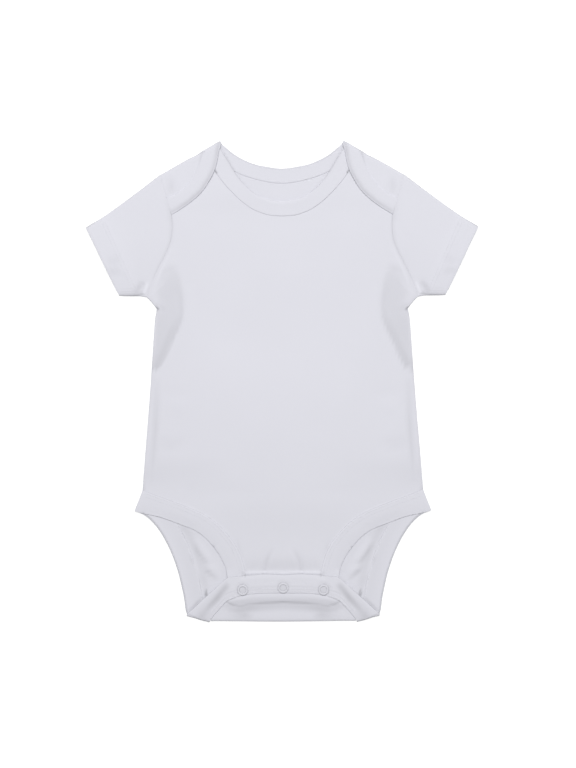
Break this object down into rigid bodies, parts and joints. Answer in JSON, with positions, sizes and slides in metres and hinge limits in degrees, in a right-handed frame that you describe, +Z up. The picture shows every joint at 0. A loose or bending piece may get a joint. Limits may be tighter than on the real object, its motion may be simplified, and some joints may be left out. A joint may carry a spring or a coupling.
{
  "type": "short-sleeved baby bodysuit",
  "caption": "Knit baby bodysuit laid flat, with short sleeves, shoulder laps that widen the bound neck for the head, bound leg openings and a crotch that fastens with snaps.",
  "frame": {"origin": "middle of the length and width, at the underside on the surface the garment lies on", "axes": "+X across the body to the right of the picture, +Y from the crotch to the neck, +Z up out of the front"},
  "size_m": [0.3434, 0.423, 0.0063],
  "materials": {
    "body_knit": "fine white cotton interlock knit, matte",
    "binding_knit": "folded white rib knit, matte",
    "snap": "white painted ring snap, satin"
  },
  "bodies": {
    "root": {"back_panel": "body_knit", "front_panel": "body_knit", "sleeve_left": "body_knit", "sleeve_right": "body_knit", "neck_binding_back": "binding_knit", "neck_binding_front": "binding_knit", "leg_binding_back": "binding_knit", "leg_binding_front": "binding_knit", "snap_left": "snap", "snap_center": "snap", "snap_right": "snap"}
  },
  "joints": []
}
